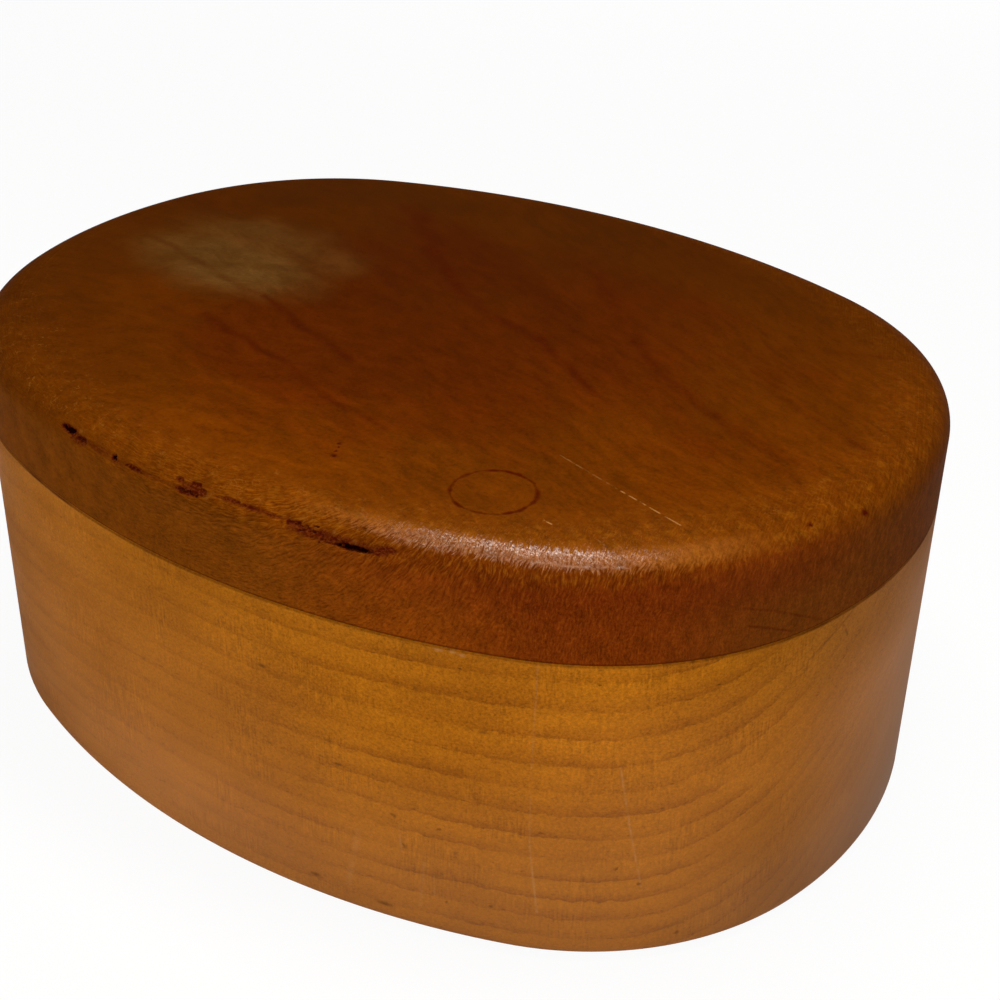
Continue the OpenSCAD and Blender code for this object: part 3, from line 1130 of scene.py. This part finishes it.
def hatch(t):
    """Broken fibres on the lid's edge: short strokes, above 0 where bright, below where dark."""
    fall = (t.rim - 1) * EDGE_OUT + t.drop
    run = t.x + (t.y + half_width / MM) * HATCH_LEAN
    place = t.wobble(2.5, 0.6, at=hatch_place(t, run, fall))
    strokes = t.noise((1.4, 0.26, 1), 3, 0.62, at=place)
    speckle = t.noise((0.42, 0.24, 1), 3, 0.7, at=place)
    strokes = strokes + (speckle - strokes) * fall.step(4, 9, 0, 0.6)
    reach = fall.step(-8, 0) * fall.step(5, 10, 1, 1.15) * run.step(52, 70, 1, 0.45)
    reach *= t.y.step(-15, 20, 1, 0.5) * t.x.step(-28, 12, 0.2, 1)
    return strokes.line(0.34, 0.66, -1, 1) * reach


def lid_fibres(t, lines, side):
    """The redder shade under the highlight, then the bright and dark strokes."""
    shade = t.drop.between((0.8, 2.2), (4, 10)) * t.x.step(10, 35)
    t.paint(shade * t.y.step(-22, -6, 0.5, 0), LID_SHADE)
    bright = t.most(lines, 0) * 0.5
    t.paint(bright, t.mix(side, LID_GOLD, LID_COPPER))
    t.paint(t.least(lines, 0) * -0.6, LID_LINE)


def lid_burnish_and_highlight(t, lines, sparkle):
    """Front right of the round-over: worn golden, painted highlight, burnished by hands, glints."""
    frayed = t.drop - lines * 0.35
    lower = t.x.line(18, 42, 0.4, 1) + t.x.between((22, 26), (29, 34)) * 0.2
    band = (frayed - lower).fall(0, 0.9) * t.y.fall(-30, -18)
    worn = band * frayed.step(-0.05, 0.4) * t.x.between((8, 28), (52, 64))
    burnish = band * frayed.step(0.18, 0.68) * t.x.between((17, 36), (42, 53))
    spark = sparkle + lines * 0.12
    streak = t.path(t.wobble(1, 0.3), GLINT_LINE, GLINT_HALF)
    streak *= sparkle.step(0.3, 0.52, 0.2, 1)
    glint = t.most(burnish * spark.line(0.34, 0.62, 0.08, 1), streak)
    # The golden band and the streak go into the colour: wear and a painted highlight.
    gold_and_highlight = t.most(worn * spark.line(0.3, 0.65, 0.35, 0.95), streak)
    return gold_and_highlight, burnish, glint


def lid_rim(t, broken):
    """Curly fibre ends, golden blots and dark pits along the rim."""
    worn = t.rim.step(0.8, 0.93) * t.drop.fall(1.2, 2.8)
    worn *= t.towards.line(-25, 25, 0.1, 1)
    ridge = abs(t.noise((1, 0.8, 0.8), 1) - 0.5)
    curl = ridge.fall(0, 0.045) * broken * worn
    t.paint(curl * t.x.step(12, 30, 0.5, 0.3), FLECK)
    blot = t.noise((1.5, 1, 1.2), 3, 0.65, at=t.wobble(1.5, 1.2)).step(0.48, 0.72)
    blot *= t.rim.step(0.84, 0.95) * t.drop.fall(1, 2.4)
    blot *= t.x.line(-40, 25, 0.02, 0.36) * t.y.line(-10, 25, 1, 0.3)
    t.paint(blot, LID_GOLD)
    pits = t.noise((0.9, 0.7, 0.7)).step(0.63, 0.74, 0, 0.25)
    t.tone(1 - pits * worn)


def lid_grit(t, grain):
    """Pores everywhere, and grit and small blotches that are stronger at the front."""
    pores = t.noise((1.3, 0.28, 0.3), 1, at=grain).step(0.63, 0.76, 0, 0.18)
    grit = t.noise((0.5, 0.5, 0.4), 3, 0.7).swing(0.1)
    blotch = t.noise((3.4, 1.8, 2.2), 4, 0.6, at=grain).swing(0.13)
    grit = (grit + blotch) * t.towards.line(-35, 35, 0.6, 1.6)
    t.tone(1 + (grit - pores))


def lid_dots(t):
    shaky = t.wobble(0.5, 0.4)
    for place, radius in LID_DOTS:
        dot = t.spot(shaky, place, (radius, radius, radius), DOT_STRENGTH)
        t.paint(dot, SCUFF)


def plug_ring(t):
    """Dirt in the uneven ring round the plug."""
    centre = (pivot.x / MM, pivot.y / MM, 0)
    out = t.vector("DISTANCE", t.vector("MULTIPLY", t.p, (1, 1, 0)), centre)
    uneven = t.noise((1.6, 1.6, 9), 3)
    off_ring = abs(out - PLUG_RING_R) / uneven.line(0.35, 0.65, 0.2, 0.55)
    dirt = off_ring.fall(0.25, 1) * uneven.line(0.35, 0.6, 0.3, 1)
    t.paint(dirt * t.drop.fall(0.2, 0.5), RING_DIRT)


def lid_gouges(t):
    """Scuffed wood in the gouges, grime in the deepest, and pale splinters."""
    gouge, splinter = (
        t.add("ShaderNodeAttribute", output="Fac", attribute_name=name)
        for name in ("gouge", "splinter")
    )
    crackle = t.noise((0.4, 0.4, 0.22), 2, 0.6).step(0.45, 0.62, 0, 0.55)
    t.paint(gouge.step(0, 0.7), t.mix(crackle, SCUFF, BRUISE))
    t.paint(gouge.step(0.8, 1), GRIME)
    t.paint(splinter * 0.6, FLECK)


def lid_scars(t, broken):
    """Cracks at the right end, dirt along the seam, and pale scratches beside the plug."""
    shown = broken.line(0, 0.5, 0.35, 0.6)
    for stops in LID_CRACKS:
        t.paint(t.path(t.p, stops, CRACK_HALF) * shown, SCUFF)
    under = lid_bottom / MM
    seam = t.z.between((under + 0.01, under + 0.04), (under + 0.1, under + 0.4))
    t.paint(seam * 0.6, SCUFF)
    gaps = t.noise((1, 1, 9), 3).step(0.36, 0.6)
    for start, end, strength in LID_SCRATCHES:
        mark = t.segment(t.p, (*start, t.top), (*end, t.top), SCRATCH_HALF)
        t.paint(mark * gaps * strength, SCRATCH)


def lid_wood():
    t = LidSurface("lid_wood", LID_OLIVE)
    grain = lid_grain(t)
    narrow = t.noise((16, 1.1, 2.2), 3, at=grain)
    cloud = t.noise((26, 20, 30), 3)
    mottle = t.noise((9, 4, 6), 4, 0.65, 0.5, at=grain)
    sparkle = t.noise((0.34, 0.24, 0.3), 2, 0.7)
    patches = t.noise((9, 9, 9)).line(0.35, 0.6, 0.2, 1)
    broken = t.noise((1.5, 1.5, 1.5)).step(0.48, 0.64) * patches
    side = (t.drop + t.x.step(42, 58, 0, 1.1)).step(2.0, 4.8)
    lines = hatch(t)
    gold_and_highlight, burnish, glint = lid_burnish_and_highlight(t, lines, sparkle)

    lid_ground(t, grain, narrow, cloud, mottle)
    lid_shade_and_wear(t)
    lid_side(t, side, cloud)
    lid_bleach(t, mottle)
    lid_lines(t)
    lid_fibres(t, lines, side)
    # Painted highlight and golden wear on the front round-over.
    t.paint(gold_and_highlight, WORN_AND_HIGHLIGHT)
    lid_rim(t, broken)
    lid_grit(t, grain)
    lid_dots(t)
    plug_ring(t)
    lid_gouges(t)
    lid_scars(t, broken)

    height = lines * 0.5 + narrow * 0.2 + sparkle * burnish.line(0, 1, 0.06, 0.7)
    normal = t.bump(height, strength=0.6, distance=0.12 * MM)
    return t.finish(
        roughness=burnish.line(0, 1, 0.62, 0.5), normal=normal,
        specular_ior_level=0.004, specular_tint=WARM_GLOSS,
        coat_weight=glint, coat_roughness=0.3, coat_ior=2.3, coat_normal=normal,
    )


def screw_steel():
    t = Surface("screw_steel", STEEL_BRIGHT)
    brushed = t.noise((0.6, 0.6, 0.05), 3)
    t.paint(t.noise((2.5, 2.5, 2.5), 3).step(0.4, 0.7), STEEL_DULL)
    return t.finish(
        metallic=1, roughness=brushed.line(0.2, 0.8, 0.28, 0.5),
        normal=t.bump(brushed, strength=0.2, distance=0.02 * MM),
    )


wood_of_lid = lid_wood()
wood_of_body = body_wood()
steel = screw_steel()
make_body(wood_of_body)
make_lid(wood_of_lid)
make_plug(wood_of_lid)
make_screw(steel)
make_washer(steel)

# Stage: a pale floor that rises into a rim all round, seen as white and still shaded. Sizes are
# in metres; the greys are of the floor as it lights the part and as it takes shadows.
FLOOR_FLAT_R = 1.4
FLOOR_RIM_R = 2.0
FLOOR_RIM_H = 0.7
FLOOR_LIT = (0.8, 0.8, 0.8, 1)
FLOOR_SHADED = (0.09, 0.09, 0.09, 1)
FLOOR_GLOW = 0.935
WHITE = (1, 1, 1, 1)


def floor_pale():
    t = Tree("floor_pale")
    rays = ("Is Camera Ray", "Is Glossy Ray", "Is Transmission Ray")
    seen = t.most(*(t.add("ShaderNodeLightPath", output=ray) for ray in rays))
    lit = t.add("ShaderNodeBsdfDiffuse", (FLOOR_LIT,))
    shaded = t.add("ShaderNodeBsdfDiffuse", (FLOOR_SHADED,))
    glow = t.add("ShaderNodeEmission", (WHITE, FLOOR_GLOW))
    white = t.add("ShaderNodeAddShader", (shaded, glow))
    return t.close(t.add("ShaderNodeMixShader", (seen, lit, white)))


def make_floor():
    bm = bmesh.new()
    rise = FLOOR_RIM_R - FLOOR_FLAT_R
    levels = [
        (FLOOR_FLAT_R + rise * math.sin(a), FLOOR_RIM_H * (1 - math.cos(a)))
        for a in spread(0, math.pi / 2, count=12)
    ]
    rings = turned(bm, levels, centre=Vector((0, 0)))
    bm.faces.new(rings[0])
    floor = link("floor", to_mesh(bm, "floor", floor_pale()))


# Softboxes: name, place, target and size in metres, power in watts, colour, and whether the
# gloss of the part shows them.
MIDDLE = (0, 0, 0.03)
SOFTBOXES = (
    ("overhead", (0.045, -0.012, 0.24), (0.045, -0.012, 0), (0.15, 0.05), 0.29,
     (1, 0.94, 0.88), True),
    ("front", (0.3, -0.55, 0.22), MIDDLE, (0.5, 0.4), 2.25, (1, 0.97, 0.93), True),
    ("left", (-0.55, -0.3, 0.22), MIDDLE, (0.5, 0.4), 0.4, (1, 0.98, 0.96), True),
    ("back", (-0.2, 0.62, 0.14), MIDDLE, (0.6, 0.25), 1.3, (1, 0.98, 0.96), False),
)
WORLD_STRENGTH = 0.12


def softbox(name, place, target, size, power, colour, in_gloss):
    light = bpy.data.lights.new(name, "AREA")
    light.shape = "RECTANGLE"
    light.size, light.size_y = size
    light.energy = power
    light.color = colour
    lamp = link(name, light)
    lamp.location = place
    lamp.rotation_euler = (Vector(target) - Vector(place)).to_track_quat("-Z", "Y").to_euler()
    lamp.visible_glossy = in_gloss


def make_lights():
    for values in SOFTBOXES:
        softbox(*values)
    world = bpy.data.worlds.new("studio")
    world.use_nodes = True
    background = world.node_tree.nodes["Background"].inputs
    background["Color"].default_value = WHITE
    background["Strength"].default_value = WORLD_STRENGTH
    bpy.context.scene.world = world


# Camera, from the fit of the outline, the seam and the plug to the photograph.
CAMERA_AZIMUTH = math.radians(35.75)
CAMERA_ELEVATION = math.radians(30.69)
CAMERA_ROLL = math.radians(0.13)
CAMERA_DISTANCE = 241.65 * MM
CLIP_START = 10 * MM
SENSOR_MM = 36.0
LENS_MM = 62.96
SHIFT = (0.0546, 0.0072)


def make_camera():
    target = Vector((0, 0, lid_top / 2))
    back = Vector((
        math.sin(CAMERA_AZIMUTH) * math.cos(CAMERA_ELEVATION),
        -math.cos(CAMERA_AZIMUTH) * math.cos(CAMERA_ELEVATION),
        math.sin(CAMERA_ELEVATION),
    ))
    data = bpy.data.cameras.new("camera")
    data.sensor_width = SENSOR_MM
    data.lens = LENS_MM
    data.shift_x, data.shift_y = SHIFT
    data.clip_start = CLIP_START
    camera = link("camera", data)
    turn = back.to_track_quat("Z", "Y").to_matrix() @ Matrix.Rotation(CAMERA_ROLL, 3, "Z")
    camera.matrix_world = Matrix.Translation(target + back * CAMERA_DISTANCE) @ turn.to_4x4()
    bpy.context.scene.camera = camera


make_floor()
make_lights()
make_camera()
bpy.context.scene.view_settings.view_transform = "Standard"
